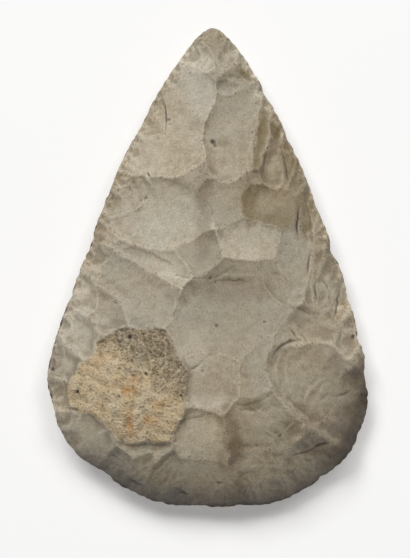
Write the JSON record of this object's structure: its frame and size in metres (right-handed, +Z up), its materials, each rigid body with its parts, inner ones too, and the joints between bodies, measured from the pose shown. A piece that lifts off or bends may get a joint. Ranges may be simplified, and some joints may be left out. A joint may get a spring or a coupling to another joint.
{
  "type": "stone hand axe",
  "caption": "Pointed teardrop-shaped hand axe of flaked flint, worked on both faces to a sharp edge all round, with a patch of the nodule's outer skin left on the upper face.",
  "frame": {"origin": "on the floor, under the centre of the axe's outline, as it lies on its plainer face", "axes": "+Y from the broad butt toward the pointed tip, +X across to the right seen from above, +Z up through the upper, more finished face"},
  "size_m": [0.1068, 0.1597, 0.0338],
  "materials": {
    "flint": "weathered buff-grey flint with a dull patina"
  },
  "bodies": {
    "root": {"hand_axe": "flint"}
  },
  "joints": []
}
